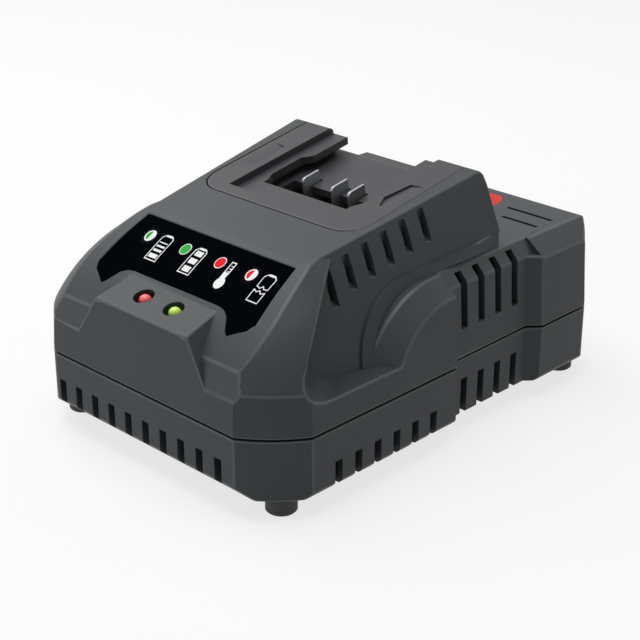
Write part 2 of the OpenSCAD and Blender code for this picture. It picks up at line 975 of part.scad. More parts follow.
module battery_cradle() {
    color(deck_grey)
        difference() {
            intersection() {
                on_deck()
                    difference() {
                        union() {
                            translate([0, 0, -plate_t])
                                linear_extrude(plate_t)
                                    cradle_outline(0);
                            translate([-housing_x, well_y - wall, -channel_bottom])
                                cube([2 * housing_x, slide_y - well_y + wall, channel_bottom - 1]);
                            translate([-well_x - well_wall, well_y - wall, -well_depth])
                                cube([
                                    2 * (well_x + well_wall), well_y1 - well_y + 2 * wall, well_depth - 2]);
                        }
                        // Battery floor between the strips
                        translate([-strip_x, cradle_y + front_lip, -rail_step])
                            cube([2 * strip_x, slide_y - cradle_y, 10]);
                        sides() strip_pocket_cut();
                        // Mouth between the flanges
                        translate([0, 0, -rail_step - flange_t - 1])
                            linear_extrude(10)
                                polygon(both_halves(mouth_half));
                        // Undercut that takes the battery rails
                        translate([-undercut_x, well_y, -channel_depth])
                            cube([
                                2 * undercut_x, slide_y - well_y + 1, channel_depth - rail_step - flange_t]);
                        // Terminal well
                        translate([-well_x, well_y, -well_depth - 1])
                            cube([2 * well_x, floor_y - well_y, well_depth]);
                        translate([-well_x, well_y, -well_depth - 1])
                            cube([2 * well_x, well_y1 - well_y, well_depth - channel_bottom + 1]);
                        for (x = blade_x)
                            translate([x - blade_slot / 2, floor_y - 1, -channel_bottom - 1])
                                cube([blade_slot, blade_y + blade_l - floor_y + 1.5, wall + 3]);
                        for (y = cradle_screw_y)
                            sides()
                                translate([cradle_screw_x, y, -plate_t - 1])
                                    cylinder(r = small_screw_r, h = plate_t);
                        sides()
                            translate([well_x + well_wall / 2, block_screw_y, -well_depth - 1])
                                cylinder(r = small_screw_r - 0.2, h = 7);
                    }
                across(body_w)
                    before_rear(0);
            }
        }
}

// Shallow pocket in a side strip, deepest along its inner edge
module strip_pocket_cut() {
    inner = strip_pocket[len(strip_pocket) - 1];
    outer = strip_pocket[2];
    intersection() {
        translate([0, 0, -5])
            linear_extrude(10)
                polygon(strip_pocket);
        along(-half_l, half_l)
            polygon([[inner.x - 1, -strip_pocket_t], [outer.x, 0], [outer.x, 5], [inner.x - 1, 5]]);
    }
}

module terminal_block() {
    color(part_black)
        on_deck()
            difference() {
                union() {
                    translate([-well_x + play, well_y + play, -well_depth - foot_flange_t])
                        cube([
                            2 * (well_x - play), well_y1 - well_y - 2 * play,
                            well_depth + foot_flange_t - block_top]);
                    translate([-well_x - well_wall, well_y - wall, -well_depth - foot_flange_t])
                        cube([2 * (well_x + well_wall), well_y1 - well_y + 2 * wall, foot_flange_t]);
                }
                for (x = blade_x)
                    translate([x - blade_t / 2 - hair, blade_y - hair, -well_depth - foot_flange_t - 1])
                        cube([blade_t + 2 * hair, blade_l + 2 * hair, well_depth]);
                sides()
                    translate([well_x + well_wall / 2, block_screw_y, -well_depth - foot_flange_t - 1])
                        cylinder(r = small_screw_r, h = foot_flange_t + 2);
            }
}

module blade(x) {
    color(steel)
        on_deck()
            translate([x - blade_t / 2, blade_y, 0])
                rotate([90, 0, 90])
                    linear_extrude(blade_t)
                        difference() {
                            translate([0, -well_depth - foot_flange_t - 2])
                                square([blade_l, well_depth + foot_flange_t + 2 - blade_top]);
                            difference() {
                                translate([-1, -blade_top - blade_bevel])
                                    square([blade_bevel + 1, blade_bevel + 1]);
                                translate([blade_bevel, -blade_top - blade_bevel])
                                    circle(r = blade_bevel);
                            }
                        }
}

module blade_negative() { blade(blade_x[0]); }
module blade_sense() { blade(blade_x[1]); }
module blade_positive() { blade(blade_x[2]); }

// Pan-head screw with its head seat at z = 0 and its shaft upwards
module screw(shaft_r, cap_r, cap_h, shaft_l) {
    color(steel)
        difference() {
            union() {
                translate([0, 0, -cap_h])
                    cylinder(r = cap_r, h = cap_h);
                cylinder(r = shaft_r, h = shaft_l);
            }
            for (a = [0, 90])
                rotate([0, 0, a])
                    translate([-cap_r * 0.6, -cap_r * 0.1, -cap_h - 1])
                        cube([cap_r * 1.2, cap_r * 0.2, 1 + cap_h * 0.5]);
        }
}

module terminal_screws() {
    on_deck()
        sides()
            translate([well_x + well_wall / 2, block_screw_y, -well_depth - foot_flange_t])
                screw(small_screw_r - 0.2, pan_r - 0.3, pan_h - 0.2, foot_flange_t + 5);
}

module cradle_screws() {
    on_deck()
        for (y = cradle_screw_y)
            sides()
                translate([cradle_screw_x, y, -plate_t - ledge_t])
                    screw(small_screw_r, pan_r, pan_h, ledge_t + plate_t - 1.5);
}

// ---- Panel, lamps and marker ----

module status_panel() {
    color(panel_black)
        intersection() {
            linear_extrude(100)
                panel_shape();
            difference() {
                across(body_w)
                    translate(slope_c)
                        circle(r = slope_r - hair, $fn = 192);
                across(body_w + 2)
                    translate(slope_c)
                        circle(r = slope_r - panel_t - hair, $fn = 192);
            }
        }
}

module lamp(x) {
    on_bump()
        translate([x, 0, -lamp_sink - lamp_h]) {
            cylinder(r = lamp_r + 0.4, h = 1);
            cylinder(r = lamp_r, h = lamp_h - lamp_r);
            translate([0, 0, lamp_h - lamp_r])
                sphere(r = lamp_r);
        }
}

module lamp_red() { color("#d23a2e") lamp(-lamp_x); }
module lamp_green() { color("#b9d63a") lamp(lamp_x); }

module lamp_board() {
    color(board_green)
        on_bump()
            difference() {
                translate([-lamp_board_w / 2, -lamp_board_l / 2, -lamp_sink - lamp_h - board_t])
                    cube([lamp_board_w, lamp_board_l, board_t]);
                sides()
                    translate([lamp_post_x, 0, -lamp_sink - lamp_h - board_t - 1])
                        cylinder(r = small_screw_r + play, h = board_t + 2);
            }
}

module lamp_board_screws() {
    on_bump()
        sides()
            translate([lamp_post_x, 0, -lamp_sink - lamp_h - board_t])
                screw(small_screw_r, pan_r, pan_h, board_t + 4.5);
}

module marker_seat() {
    translate([0, 0, platform_z - marker_t])
        linear_extrude(5)
            polygon(inset(both_halves(marker_points), -0.1));
}

module charge_marker() {
    color("#d8413c")
        translate([0, 0, platform_z - marker_t])
            linear_extrude(marker_t)
                polygon(both_halves(marker_points));
}

// ---- Main board and its parts ----

module main_board() {
    color(board_green)
        difference() {
            translate([-board_w / 2, board_y - board_l / 2, board_z])
                cube([board_w, board_l, board_t]);
            translate([0, board_y, 0])
                corners()
                    translate([post_x, post_y, board_z - 1])
                        cylinder(r = small_screw_r + play, h = board_t + 2);
        }
}

module board_screws() {
    translate([0, board_y, board_top])
        corners()
            translate([post_x, post_y, 0])
                mirror([0, 0, 1])
                    screw(small_screw_r, pan_r, pan_h, board_t + post_h - 1);
}

// Places a part on the main board
module on_board(x, y) {
    translate([x, board_y + y * board_l / layout_l, board_top])
        children();
}

module transformer_core() {
    color("#2c2d2f")
        on_board(core_at.x, core_at.y)
            difference() {
                translate([-core.x / 2, -core.y / 2, 0])
                    cube(core);
                difference() {
                    translate([-core.x / 2 + core_limb, -core.y, core_limb])
                        cube([core.x - 2 * core_limb, 2 * core.y, core.z - 2 * core_limb]);
                    translate([0, 0, 1])
                        cylinder(r = core_leg_r, h = core.z - 2);
                }
            }
}

module transformer_winding() {
    color("#c9a13a")
        on_board(core_at.x, core_at.y)
            difference() {
                union() {
                    for (z = [core_limb + play, core.z - core_limb - play - cheek_t])
                        translate([-coil_r + 0.5, -core.y / 2 - 3, z])
                            cube([2 * coil_r - 1, core.y + 6, cheek_t]);
                    translate([0, 0, core_limb + play])
                        cylinder(r = coil_r - 0.6, h = core.z - 2 * core_limb - 2 * play);
                }
                cylinder(r = core_leg_r + play, h = core.z);
            }
}

module can(size) {
    cylinder(r = size[0], h = size[1]);
    cylinder(r = size[0] + 0.3, h = 1.5);
}

module bulk_capacitor() { color("#2a3350") on_board(22, 26) can(bulk_can); }

module output_capacitors() {
    color("#2b2b40")
        for (x = [-32, -20])
            on_board(x, -24)
                can(output_can);
}

module line_capacitor() {
    color("#c9b13c")
        on_board(24, 42)
            translate([-line_box.x / 2, -line_box.y / 2, 0])
                cube(line_box);
}

module mains_choke() {
    color("#8a4b26")
        on_board(-14, 40)
            translate([0, 0, choke_r + choke_wire_r])
                rotate([90, 0, 0])
                    rotate_extrude()
                        translate([choke_r, 0])
                            circle(r = choke_wire_r, $fn = 48);
}

module fuse() {
    color("#c8ccd0")
        on_board(4, 44)
            translate([0, 0, fuse_z])
                rotate([0, 90, 0])
                    translate([0, 0, -fuse_l / 2])
                        cylinder(r = fuse_r, h = fuse_l);
}

module fuse_clips() {
    color(brass)
        for (x = [-fuse_l / 2 + 0.5, fuse_l / 2 - clip.x - 0.5])
            on_board(4, 44)
                translate([x, -clip.y / 2, 0])
                    difference() {
                        cube(clip);
                        translate([-1, clip.y / 2, fuse_z])
                            rotate([0, 90, 0])
                                cylinder(r = fuse_r, h = clip.x + 2);
                        translate([-1, clip_t, fuse_z])
                            cube([clip.x + 2, clip.y - 2 * clip_t, clip.z]);
                    }
}

module rectifier() {
    color(part_black)
        on_board(8, 29)
            translate([-rectifier_box.x / 2, -rectifier_box.y / 2, 0])
                cube(rectifier_box);
}

module heatsink() {
    color("#b4b7ba")
        on_board(sink_x, -16) {
            translate([-sink_t / 2, -sink_l / 2, 0])
                cube([sink_t, sink_l, sink_h]);
            for (i = [0 : fins - 1])
                translate([-sink_t / 2 - fin_w, -sink_l / 2 + i * (sink_l - fin_t) / (fins - 1), fin_z])
                    cube([fin_w + 1, fin_t, sink_h - fin_z]);
        }
}

module power_package() {
    translate([-4.5, -5, 0])
        cube([4.5, 10, 9.4]);
    translate([-2.9, -5, 9])
        cube([1.3, 10, 2.5]);
}

module switching_transistor() { color(part_black) on_board(sink_x - sink_t / 2, -28) power_package(); }
module output_diode() { color(part_black) on_board(sink_x - sink_t / 2, -6) power_package(); }

module controller_chip() {
    color(part_black)
        on_board(4, -22)
            translate([-chip_box.x / 2, -chip_box.y / 2, 0])
                cube(chip_box);
}

module board_connector() {
    color("#e4e2da")
        on_board(4, -44)
            difference() {
                translate([-socket_box.x / 2, -socket_box.y / 2, 0])
                    cube(socket_box);
                translate([-socket_box.x / 2 + socket_wall, -socket_box.y / 2 + socket_wall, socket_wall])
                    cube([socket_box.x - 2 * socket_wall, socket_box.y - 2 * socket_wall, socket_box.z]);
            }
}

// ---- Cord entry ----

// Bush that lines the hole for the mains cord in the rear wall
module cord_gland() {
    color(rubber_black)
        translate([gland_x, half_l, gland_z])
            rotate([-90, 0, 0])
                difference() {
                    union() {
                        cylinder(r = gland_r + gland_lip, h = gland_lip);
                        translate([0, 0, -wall - gland_lip])
                            cylinder(r = gland_r - hair, h = wall + 2 * gland_lip);
                        translate([0, 0, -wall - gland_lip])
                            cylinder(r = gland_r + gland_lip, h = gland_lip);
                    }
                    translate([0, 0, -wall - gland_lip - 1])
                        cylinder(r = cord_r, h = wall + 2 * gland_lip + 2);
                }
}

module clamp_seat() {
    for (s = [-1, 1])
        translate([
            gland_x + s * clamp_screw_x - clamp_half + clamp_screw_x, clamp_y - clamp_l / 2, base_z + 1])
            cube([2 * (clamp_half - clamp_screw_x), clamp_l, gland_z - cord_r - base_z - 1]);
}

module cord_clamp() {
    color(part_black)
        translate([gland_x, clamp_y, gland_z - cord_r])
            difference() {
                translate([-clamp_half, -clamp_l / 2, 0])
                    cube([2 * clamp_half, clamp_l, clamp_h]);
                for (s = [-1, 1])
                    translate([s * clamp_screw_x, 0, -1])
                        cylinder(r = small_screw_r + 0.1, h = clamp_h + 2);
            }
}

module clamp_screws() {
    for (s = [-1, 1])
        translate([gland_x + s * clamp_screw_x, clamp_y, gland_z - cord_r + clamp_h])
            mirror([0, 0, 1])
                screw(small_screw_r, pan_r, pan_h, clamp_h);
}

// ---- Feet and cover screws ----

module foot(x, y) {
    color(rubber_black)
        translate([x, y, 0]) {
            cylinder(r1 = foot_r - 0.5, r2 = foot_r, h = 0.5);
            translate([0, 0, 0.5])
                cylinder(r = foot_r, h = base_z - 0.5);
            cylinder(r = foot_r - 1.3, h = base_z + 0.9);
        }
}

module foot_front_left() { foot(-foot_x, -foot_y); }
module foot_front_right() { foot(foot_x, -foot_y); }
module foot_rear_left() { foot(-foot_x, foot_y); }
module foot_rear_right() { foot(foot_x, foot_y); }

module cover_screws() {
    corners()
        translate([screw_x, screw_y, head_z])
            screw(screw_r, head_r, head_h, seam_z + screw_reach - head_z - 1);
}

base_tray();
cover();
battery_cradle();
terminal_block();
blade_negative();
blade_sense();
blade_positive();
terminal_screws();
status_panel();
lamp_red();
lamp_green();
lamp_board();
lamp_board_screws();
charge_marker();
main_board();
board_screws();
transformer_core();
transformer_winding();
bulk_capacitor();
output_capacitors();
line_capacitor();
mains_choke();
fuse();
fuse_clips();
rectifier();
heatsink();
switching_transistor();
output_diode();
controller_chip();
board_connector();
cord_gland();
cord_clamp();
clamp_screws();
foot_front_left();
foot_front_right();
foot_rear_left();
foot_rear_right();
cover_screws();
cradle_screws();
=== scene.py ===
# Power tool battery charger: a moulded housing with a sloping battery cradle,
# a gloss status panel and two lamps.
import bmesh
import bpy
import math
from mathutils import Matrix, Vector
from mathutils.bvhtree import BVHTree


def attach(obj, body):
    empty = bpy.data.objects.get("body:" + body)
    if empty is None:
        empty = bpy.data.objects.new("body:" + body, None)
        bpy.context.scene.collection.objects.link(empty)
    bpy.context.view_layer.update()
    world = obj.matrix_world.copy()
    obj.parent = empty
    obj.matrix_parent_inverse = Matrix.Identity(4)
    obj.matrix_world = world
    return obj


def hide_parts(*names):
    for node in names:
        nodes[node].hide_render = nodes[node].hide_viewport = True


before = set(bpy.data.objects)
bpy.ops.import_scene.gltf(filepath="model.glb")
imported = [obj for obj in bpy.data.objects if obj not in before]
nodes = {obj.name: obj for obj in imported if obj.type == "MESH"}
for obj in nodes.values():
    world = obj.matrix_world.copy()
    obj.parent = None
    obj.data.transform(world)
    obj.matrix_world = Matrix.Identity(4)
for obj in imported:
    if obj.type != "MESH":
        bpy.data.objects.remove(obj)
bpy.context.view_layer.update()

# ---- Camera ----
# A product view from the front right corner, a little above the deck,
# through a long lens that keeps the charger's edges nearly parallel.
camera = bpy.data.objects.new("camera", bpy.data.cameras.new("camera"))
bpy.context.scene.collection.objects.link(camera)
camera.location = (0.31926, -0.33033, 0.22974)
camera.rotation_euler = (math.radians(65.85), 0, math.radians(44.32))
camera.data.lens = 87.1
camera.data.clip_start = 0.01
bpy.context.scene.camera = camera

# ---- Cover ----
# Injection moulded ABS in charcoal, with a sparked grain off the mould and softly rounded edges.
# It carries the deck, the nose with its lamp bump, the haunches and the rear platform.
# Each rounded edge takes a paler, smoother copy of the plastic, a painted highlight that shows as a thin
# pale line.
MM = 0.001


def linear(code):
    """A colour written as sRGB hex, in the linear values that a shader takes."""
    parts = [int(code[i:i + 2], 16) / 255 for i in (1, 3, 5)]
    return [p / 12.92 if p <= 0.04045 else ((p + 0.055) / 1.055) ** 2.4 for p in parts] + [1.0]


def add(tree, kind, settings=None, **inputs):
    """Adds a node with its settings, and its inputs as values or as links.

    An input goes by its name, or by i and its number where a name comes twice.
    """
    made = tree.nodes.new("ShaderNode" + kind)
    for key, value in (settings or {}).items():
        setattr(made, key, value)
    for key, value in inputs.items():
        name = key.replace("_", " ")
        socket = made.inputs[int(name[1:]) if name[0] == "i" and name[1:].isdigit() else name]
        if isinstance(value, bpy.types.NodeSocket):
            tree.links.new(value, socket)
        else:
            socket.default_value = value
    return made


def start(name):
    """An empty material: itself, its tree, its shader and its Object coordinates."""
    material = bpy.data.materials.new(name)
    material.use_nodes = True
    tree = material.node_tree
    return material, tree, tree.nodes["Principled BSDF"], add(tree, "TexCoord").outputs["Object"]


def moulded(name, dark, light, roughness, grain, depth, specular=0.5):
    """A moulded plastic: a slow drift of colour under a grain of that size and depth, in millimetres.

    A real sparked grain is about 0.1 mm across, so it is drawn a few times coarser to show at all.
    """
    drift_size = 35 * MM
    gloss_swing = 0.05
    material, tree, shader, place = start(name)
    drift = add(tree, "TexNoise", Vector=place, Scale=1 / drift_size, Detail=3.0)
    speck = add(tree, "TexNoise", Vector=place, Scale=1 / (grain * MM), Detail=2.0, Roughness=0.6)
    share = add(tree, "MapRange", Value=drift.outputs["Fac"], From_Min=0.3, From_Max=0.7)
    tint = add(tree, "Mix", {"data_type": "RGBA"}, i6=linear(dark), i7=linear(light),
               Factor=share.outputs[0])
    tree.links.new(tint.outputs[2], shader.inputs["Base Color"])
    gloss = add(tree, "MapRange", Value=speck.outputs["Fac"], From_Min=0.25, From_Max=0.75,
                To_Min=roughness - gloss_swing, To_Max=roughness + gloss_swing)
    tree.links.new(gloss.outputs[0], shader.inputs["Roughness"])
    bump = add(tree, "Bump", Height=speck.outputs["Fac"], Strength=0.5, Distance=depth * MM)
    tree.links.new(bump.outputs["Normal"], shader.inputs["Normal"])
    shader.inputs["IOR"].default_value = 1.54
    shader.inputs["Specular IOR Level"].default_value = specular
    return material


def as_piece(name, bm):
    """Makes modelled faces a piece of the scene."""
    mesh = bpy.data.meshes.new(name)
    bm.to_mesh(mesh)
    bm.free()
    piece = bpy.data.objects.new(name, mesh)
    bpy.context.scene.collection.objects.link(piece)
    return piece


def settle(piece, materials, slot, *replaced):
    """Puts a finished piece on the body with its materials, and hides the node that it stands for. Its
    slot is not used.
    """
    for material in materials:
        piece.data.materials.append(material)
    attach(piece, "root")
    if replaced:
        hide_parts(*replaced)


def outward_faces(bm):
    """The faces that look into the open, and not at another wall of the same moulding."""
    lift = 0.02 * MM
    walls = BVHTree.FromBMesh(bm)
    found = set()
    for face in bm.faces:
        middle = face.calc_center_median_weighted()
        if walls.ray_cast(middle + face.normal * lift, face.normal)[0] is None:
            found.add(face)
    return found


def reach(face, edge):
    """How far a face goes from one of its edges."""
    first, last = [vert.co for vert in edge.verts]
    along = (last - first).normalized()
    return max((v.co - first - along * (v.co - first).dot(along)).length for v in face.verts)


def merge_slivers(bm, weight, width):
    """Joins the thin faces beside a weighted edge to their neighbours, so that a rounding has room."""
    thin = 1.5 * width
    nearly_flat = math.radians(12)
    slivers = set()
    for edge in bm.edges:
        for face in edge.link_faces:
            if edge[weight] > 0 and reach(face, edge) < thin:
                slivers.update(e for e in face.edges if e.calc_face_angle(1) < nearly_flat)
    bm.edges.index_update()
    in_order = sorted(slivers, key=lambda edge: edge.index)
    bmesh.ops.dissolve_edges(bm, edges=in_order, use_verts=False)
    bm.normal_update()


def weigh_edges(bm, weight, width):
    """Leaves the edges of specks unrounded, and narrows a rounding where a face beside it is short."""
    speck_area = 0.5 * width ** 2
    share_of_face = 0.45
    for face in bm.faces:
        if face.calc_area() < speck_area:
            for edge in face.edges:
                edge[weight] = 0.0
    for edge in bm.edges:
        if edge[weight] > 0:
            room = min(reach(face, edge) for face in edge.link_faces)
            edge[weight] = min(1.0, share_of_face * room / width)


def rounded(node, width):
    """A copy of a node's mesh whose outer edges are rounded to that width, in metres."""
    weld = 0.06 * MM
    same_plane = math.radians(0.5)
    crease = math.radians(20)
    sliver_passes = 5
    bm = bmesh.new()
    bm.from_mesh(nodes[node].data)
    bmesh.ops.remove_doubles(bm, verts=bm.verts, dist=weld)
    bmesh.ops.dissolve_limit(bm, angle_limit=same_plane, verts=bm.verts, edges=bm.edges)
    bm.normal_update()
    outer = outward_faces(bm)
    weight = bm.edges.layers.float.new("bevel_weight_edge")
    for edge in bm.edges:
        edge.smooth = edge.calc_face_angle(0) < crease
        if not edge.smooth and edge.is_convex and all(face in outer for face in edge.link_faces):
            edge[weight] = 1.0
    for _ in range(sliver_passes):
        merge_slivers(bm, weight, width)
    weigh_edges(bm, weight, width)
    for face in bm.faces:
        face.smooth = True
    piece = as_piece(node + "_finished", bm)
    bevel = piece.modifiers.new("edges", "BEVEL")
    bevel.limit_method = "WEIGHT"
    bevel.width = width
    bevel.segments = 3
    bevel.use_clamp_overlap = False
    bevel.miter_outer = "MITER_ARC"
    bevel.loop_slide = False
    # The roundings take the piece's second material, painted paler as an edge highlight
    bevel.material = 1
    shading = piece.modifiers.new("shading", "WEIGHTED_NORMAL")
    shading.keep_sharp = True
    return piece


# An even, dull charcoal whose grain spreads every highlight
charcoal_abs = moulded("moulded charcoal ABS", "#2e3235", "#323639", roughness=0.48,
                       grain=0.4, depth=0.02, specular=0.25)
# The same plastic a little smoother and painted paler, a painted highlight that reads as a thin pale
# line along each edge
edge_highlight_abs = moulded("charcoal ABS painted edge highlight", "#404547", "#464b4d", roughness=0.42,
                     grain=0.4, depth=0.01, specular=0.3)
settle(rounded("cover", 0.6 * MM), [charcoal_abs, edge_highlight_abs], "shell_grey", "cover")

# ---- Base tray ----
# The lower half of the housing, moulded in the same charcoal ABS and screwed to the cover from below.
# Air slots stand open along its front and sides, and its rim meets the cover at a thin dark seam.
# Its rounded edges take the same painted edge highlight
settle(rounded("base_tray", 0.5 * MM), [charcoal_abs, edge_highlight_abs], "shell_grey", "base_tray")

# ---- Battery cradle ----
# A moulding of its own in glass filled nylon, dropped into the cover and held by four screws from below.
# A battery's rails slide in under its two flanges, and its well lets the contacts through.
# Grey glass fibres near the surface make it a shade warmer than the cover, with the same dull face.
filled_nylon = moulded("glass filled nylon", "#353438", "#3a393d", roughness=0.46,
                       grain=0.3, depth=0.01, specular=0.25)
# The same nylon a little smoother and painted paler, a painted highlight along its rounded edges
edge_highlight_nylon = moulded("filled nylon painted edge highlight", "#4a494d", "#504f53", roughness=0.4,
                       grain=0.3, depth=0.01, specular=0.3)
settle(rounded("battery_cradle", 0.4 * MM), [filled_nylon, edge_highlight_nylon], "deck_grey", "battery_cradle")

# ---- Terminal block and cord clamp ----
# Small mouldings in black nylon, screwed in place inside: the block holds the contact blades
# upright in the cradle's well, and the clamp bridges the two posts behind the cord bush.


def dress(node, material):
    """Gives a CAD node's own material slots a finish."""
    for slot in nodes[node].material_slots:
        slot.material = material


# Dull and nearly black, so the blades stand out before it
black_nylon = moulded("black nylon", "#161718", "#1a1b1c", roughness=0.5, grain=0.3, depth=0.01)
for name in ("terminal_block", "cord_clamp"):
    dress(name, black_nylon)

# ---- Contact blades ----
# Three blades sheared from nickel plated copper strip and pressed into the terminal block.
# Tumbling leaves a satin grey face, clouded over a few millimetres, and finer marks across its edges.
plated, tree, shader, place = start("nickel plated strip")
shader.inputs["Base Color"].default_value = linear("#8e9294")
shader.inputs["Metallic"].default_value = 1.0
mark_size = (0.25, 2.5, 2.5)
marks = add(tree, "Mapping", Vector=place, Scale=[1 / (size * MM) for size in mark_size])
cloud = add(tree, "TexNoise", Vector=marks.outputs[0], Scale=1.0, Detail=2.0)
satin = add(tree, "MapRange", Value=cloud.outputs["Fac"], To_Min=0.4, To_Max=0.6)
tree.links.new(satin.outputs[0], shader.inputs["Roughness"])
for name in ("blade_negative", "blade_sense", "blade_positive"):
    dress(name, plated)

# ---- Status panel ----
# A black polycarbonate film, cut to the panel's outline and bonded into its bed on the slope.
# It is smooth and nearly black, with a faint ripple a few millimetres long from the bonding.
film, tree, shader, place = start("gloss polycarbonate film")
shader.inputs["Base Color"].default_value = linear("#05070b")
shader.inputs["Roughness"].default_value = 0.3
shader.inputs["IOR"].default_value = 1.58
shader.inputs["Specular IOR Level"].default_value = 0.0
ripple = add(tree, "TexNoise", Vector=place, Scale=1 / (6 * MM), Detail=1.0)
wave = add(tree, "Bump", Height=ripple.outputs["Fac"], Strength=0.3, Distance=0.01 * MM)
tree.links.new(wave.outputs["Normal"], shader.inputs["Normal"])
dress("status_panel", film)

# ---- Panel symbols ----
# Screen printed inks on the film: a charging battery, a full one, a thermometer and a split battery.
# A key dot beside each repeats the lamp's colour; half white and rayed, it stands for a blinking lamp.
# All places and widths are in millimetres.


def stroke(bm, first, last, width):
    """A straight line of ink between two points, cut across so that it can bend with the film."""
    a, b = Vector(first), Vector(last)
    length = (b - a).length + width
    middle = (a + b) / 2
    turn = math.atan2(b.y - a.y, b.x - a.x)
    laid = (Matrix.Translation((middle.x, middle.y, 0)) @ Matrix.Rotation(turn, 4, "Z")
            @ Matrix.Diagonal((length, width, 1, 1)))
    bmesh.ops.create_grid(bm, x_segments=max(1, round(length)), y_segments=1, size=0.5, matrix=laid)


def line(bm, width, *points):
    """A run of strokes through several points."""
    for a, b in zip(points, points[1:]):
        stroke(bm, a, b, width)


def dot(bm, x, y, radius, side=0):
    """A round spot of ink, or only its left half (side -1) or its right half (side 1)."""
    spot = bmesh.ops.create_circle(bm, cap_ends=True, segments=36, radius=radius,
                                   matrix=Matrix.Translation((x, y, 0)))["verts"]
    if side:
        face = spot[0].link_faces[0]
        bmesh.ops.bisect_plane(bm, geom=spot + list(face.edges) + [face], dist=1e-5,
                               plane_co=(x, y, 0), plane_no=(side, 0, 0), clear_inner=True)


def rays(bm, x, y):
    """Twelve short marks all round a key dot."""
    inner, outer, width = 2.35, 2.9, 0.16
    for turn in range(12):
        out = Vector((math.cos(turn * math.pi / 6), math.sin(turn * math.pi / 6)))
        stroke(bm, Vector((x, y)) + out * inner, Vector((x, y)) + out * outer, width)


def printed(name, bm, lift, ink, slot):
    """Lays flat ink on the film at that height over it, a hair thick, and puts it on the body.

    The film follows the slope, an arc round a line across the charger.
    """
    arc_y, arc_z, arc_radius = -5.6, -23.9, 97.25
    for vert in bm.verts:
        vert.co.z = arc_z + math.sqrt(arc_radius ** 2 - (vert.co.y - arc_y) ** 2) + lift
    bmesh.ops.scale(bm, verts=bm.verts, vec=(MM, MM, MM))
    bmesh.ops.recalc_face_normals(bm, faces=bm.faces)
    for face in [face for face in bm.faces if face.normal.z < 0]:
        face.normal_flip()
    bmesh.ops.solidify(bm, geom=list(bm.faces), thickness=0.04 * MM)
    settle(as_piece(name, bm), [ink], slot)


def screen_ink(name, dark, light, specular=0.05):
    """A flat ink with the weave of the screen just to be felt in it."""
    return moulded(name, dark, light, roughness=0.5, grain=0.2, depth=0.004, specular=specular)


fine, bold = 0.3, 0.7
white_marks = bmesh.new()
# The outlines of the charging and the full battery, each with its pole
for x in (-19.0, -4.0):
    line(white_marks, fine, (x, -59.2), (x, -51.7), (x + 0.9, -50.8), (x + 3.8, -50.8),
         (x + 4.7, -51.7), (x + 4.7, -59.2), (x, -59.2))
    stroke(white_marks, (x + 1.5, -50.8), (x + 3.2, -50.8), bold)
# The charging battery's bars thin out upwards
for y, width in ((-57.8, 1.3), (-56.0, 0.75), (-54.6, 0.6), (-53.3, 0.3)):
    stroke(white_marks, (-18.4 + width / 2, y), (-14.9 - width / 2, y), width)
# The full battery's three blocks
for y in (-57.7, -55.1, -52.5):
    stroke(white_marks, (-2.25, y), (-1.05, y), 1.7)
# The thermometer: bulb, neck, tube and scale
dot(white_marks, 12.9, -58.0, 1.75)
stroke(white_marks, (12.6, -57.2), (12.5, -55.5), 1.9)
line(white_marks, 0.35, (11.7, -55.0), (11.5, -51.2), (13.2, -51.2), (13.4, -55.0))
for y in (-54.2, -53.3, -52.4):
    stroke(white_marks, (12.4, y), (13.1, y), 0.25)
# The split battery: its upper part with the pole, and its lower part
line(white_marks, fine, (25.5, -54.9), (25.3, -51.7), (26.2, -50.8), (29.0, -50.8), (29.9, -51.7),
     (29.9, -55.1), (28.5, -55.2), (27.7, -54.5), (26.9, -55.3), (25.5, -54.9))
stroke(white_marks, (26.9, -50.8), (28.4, -50.8), bold)
line(white_marks, fine, (25.5, -56.0), (26.8, -56.5), (27.7, -55.9), (28.6, -56.7), (29.9, -56.2),
     (29.9, -59.4), (25.6, -59.4), (25.5, -56.0))
# The key dots, one left of each symbol, on white grounds
charging_x, full_x, hot_x, broken_x = -23.7, -7.6, 7.7, 20.8
key_y = -52.6
ground_radius, key_radius, half_key_radius = 1.95, 1.7, 1.5
for x in (charging_x, full_x, hot_x, broken_x):
    dot(white_marks, x, key_y, ground_radius)
green_marks = bmesh.new()
dot(green_marks, charging_x, key_y, half_key_radius, side=-1)
dot(green_marks, full_x, key_y, key_radius)
red_marks = bmesh.new()
dot(red_marks, hot_x, key_y, key_radius)
dot(red_marks, broken_x, key_y, half_key_radius, side=-1)
green_rays = bmesh.new()
rays(green_rays, charging_x, key_y)
red_rays = bmesh.new()
rays(red_rays, broken_x, key_y)
# Full inks cover the black below them, and thinned ones let it through and look dark
over_film, over_white = 0.03, 0.05
white_ink = screen_ink("white screen ink", "#e6e8e8", "#f0f2f2", specular=0.1)
green_ink = screen_ink("green screen ink", "#34a23e", "#3aaa44")
red_ink = screen_ink("red screen ink", "#dc141e", "#e41c26")
dim_green_ink = screen_ink("thinned green ink", "#10301e", "#153824")
dim_red_ink = screen_ink("thinned red ink", "#3a1416", "#44181a")
printed("symbols_white", white_marks, over_film, white_ink, "natural_nylon")
printed("keys_green", green_marks, over_white, green_ink, "lamp_green")
printed("keys_red", red_marks, over_white, red_ink, "lamp_red")
printed("rays_green", green_rays, over_film, dim_green_ink, "panel_black")
printed("rays_red", red_rays, over_film, dim_red_ink, "panel_black")
